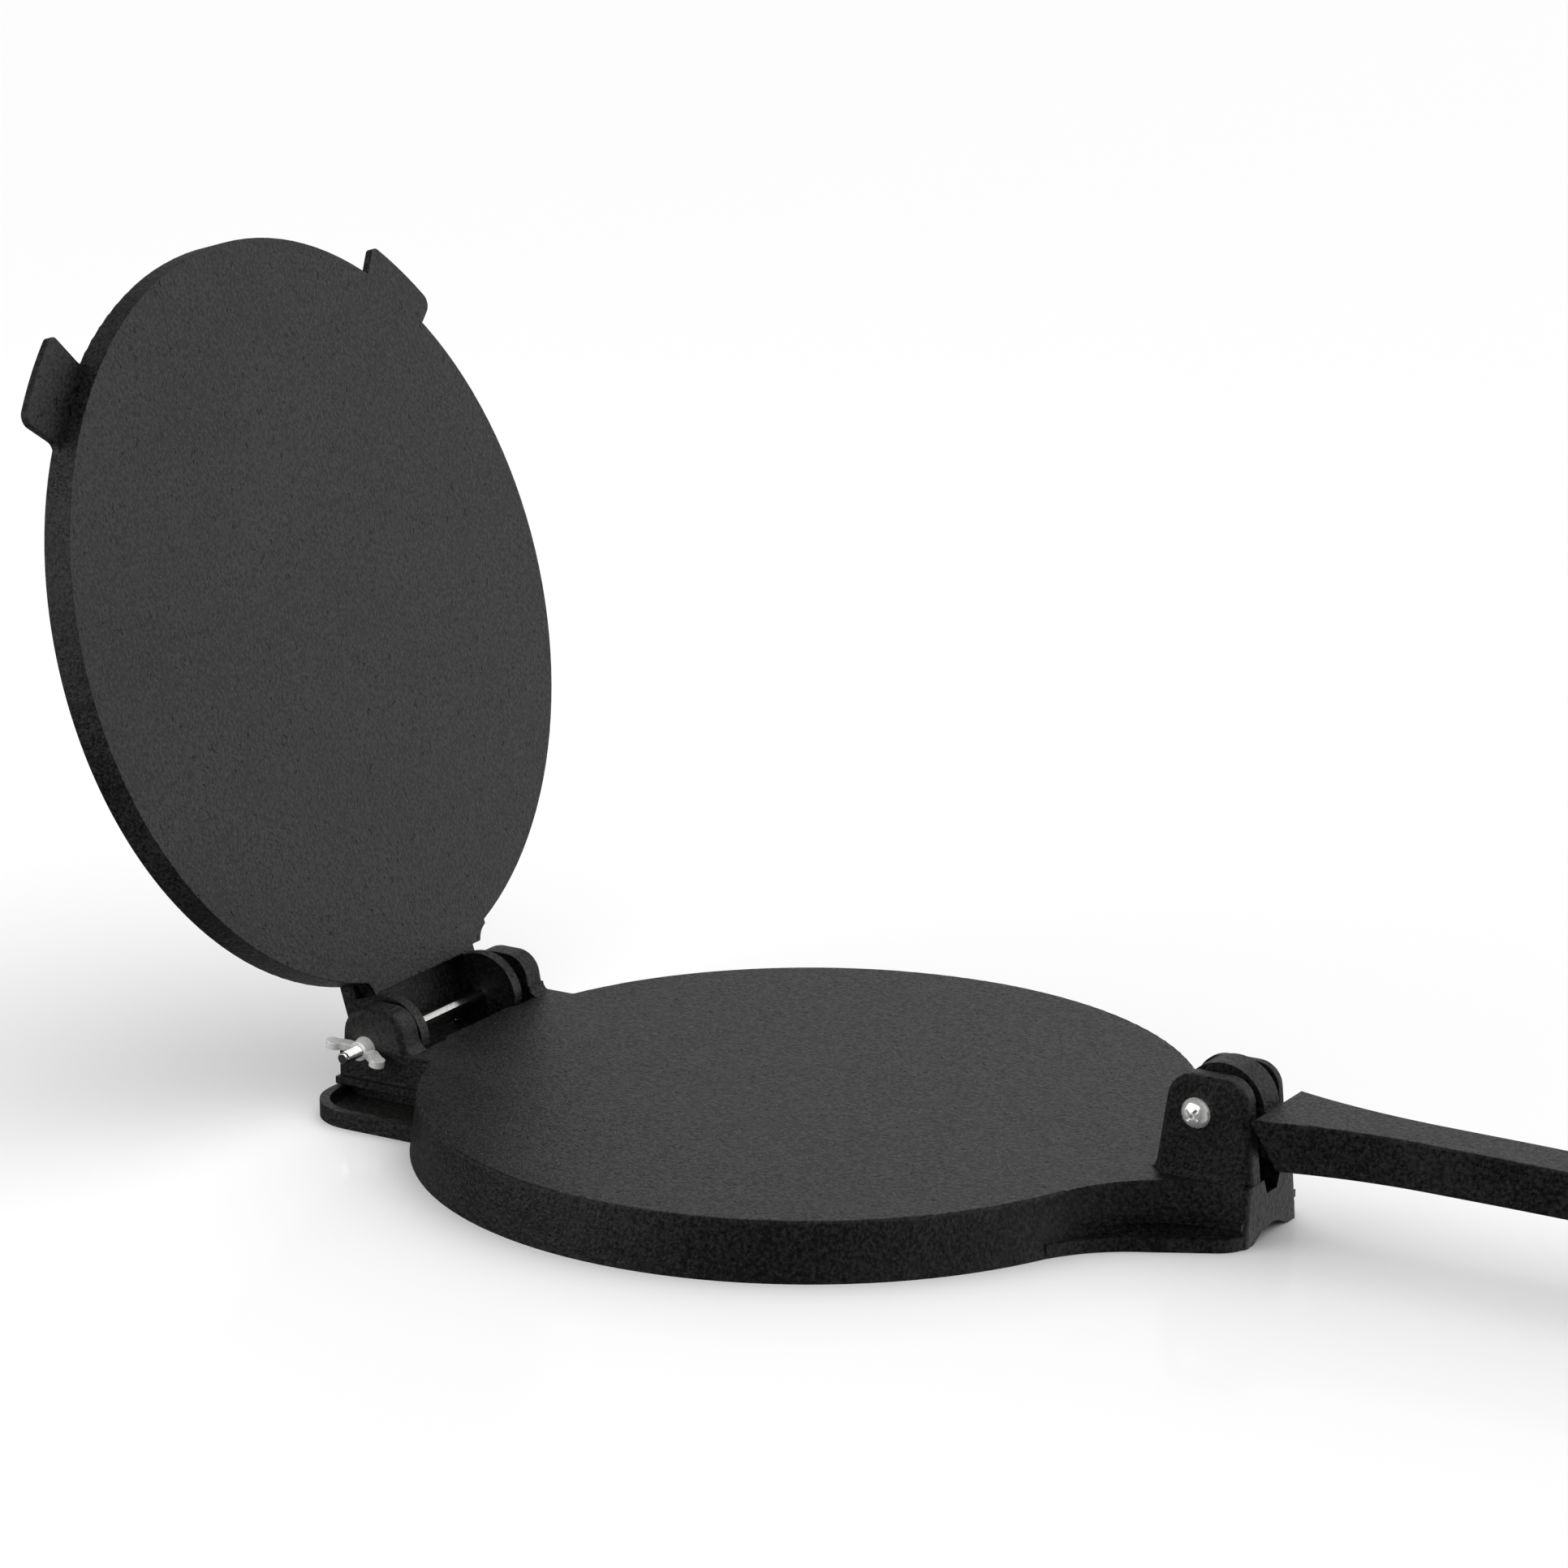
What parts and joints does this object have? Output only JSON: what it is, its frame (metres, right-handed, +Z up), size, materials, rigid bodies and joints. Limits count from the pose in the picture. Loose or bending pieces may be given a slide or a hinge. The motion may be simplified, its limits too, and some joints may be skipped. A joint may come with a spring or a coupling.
{
  "type": "tortilla press",
  "caption": "Cast-iron tortilla press standing open: round base plate, round hinged lid with two lifting ears, and a pressure lever that folds over and presses the lid down.",
  "frame": {"origin": "centre of the round base plate, on the surface it stands on", "axes": "+Z up, +Y from the lever's pivot towards the lid's hinge, +X to the right when the hinge is at the back"},
  "size_m": [0.2592, 0.6439, 0.2742],
  "materials": {
    "seasoned_iron": "satin",
    "chrome_steel": "polished"
  },
  "bodies": {
    "base": {"base_casting": "seasoned_iron", "hinge_bolt": "chrome_steel", "lever_pivot_screw": "chrome_steel", "lever_pivot_nut": "chrome_steel"},
    "lid": {"lid_casting": "seasoned_iron"},
    "lever": {"lever_casting": "seasoned_iron"},
    "wing_nut": {"hinge_wing_nut": "chrome_steel"}
  },
  "joints": [
    {"name": "lid_hinge", "type": "hinge", "parent": "base", "child": "lid", "pos_m": [0, 0.1458, 0.0192], "axis": [1, 0, 0], "range_deg": [0, 106.9]},
    {"name": "lever_pivot", "type": "hinge", "parent": "base", "child": "lever", "pos_m": [0, -0.1466, 0.0402], "axis": [-1, 0, 0], "range_deg": [0, 180]},
    {"name": "wing_nut_turn", "type": "hinge", "parent": "base", "child": "wing_nut", "pos_m": [-0.045, 0.1458, 0.0192], "axis": [-1, 0, 0], "range_deg": [0, 360]}
  ]
}
